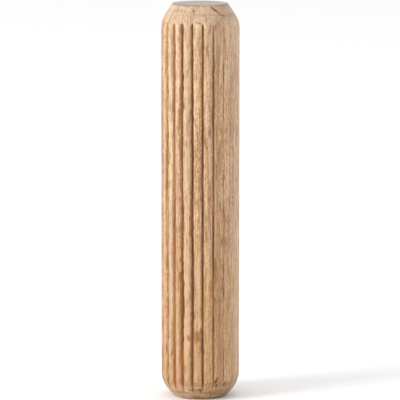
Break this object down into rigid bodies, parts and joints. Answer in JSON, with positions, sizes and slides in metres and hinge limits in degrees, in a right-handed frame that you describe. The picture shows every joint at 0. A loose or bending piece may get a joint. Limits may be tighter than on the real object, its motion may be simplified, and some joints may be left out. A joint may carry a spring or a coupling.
{
  "type": "dowel pin",
  "caption": "Straight wooden dowel pin with lengthwise glue flutes, a plain strip along one side and a tapered lead-in at each end, for joining two boards.",
  "frame": {"origin": "centre of the lower end face, on the pin's axis", "axes": "+Z along the pin's axis from the lower end to the upper end; -Y is the front, where the deep flutes face the viewer; +X is the right side, where the flutes fade into the plain strip"},
  "size_m": [0.008, 0.008, 0.04],
  "materials": {
    "beech": "raw, unfinished beech, pressed and cut, matt"
  },
  "bodies": {
    "root": {"dowel": "beech"}
  },
  "joints": []
}
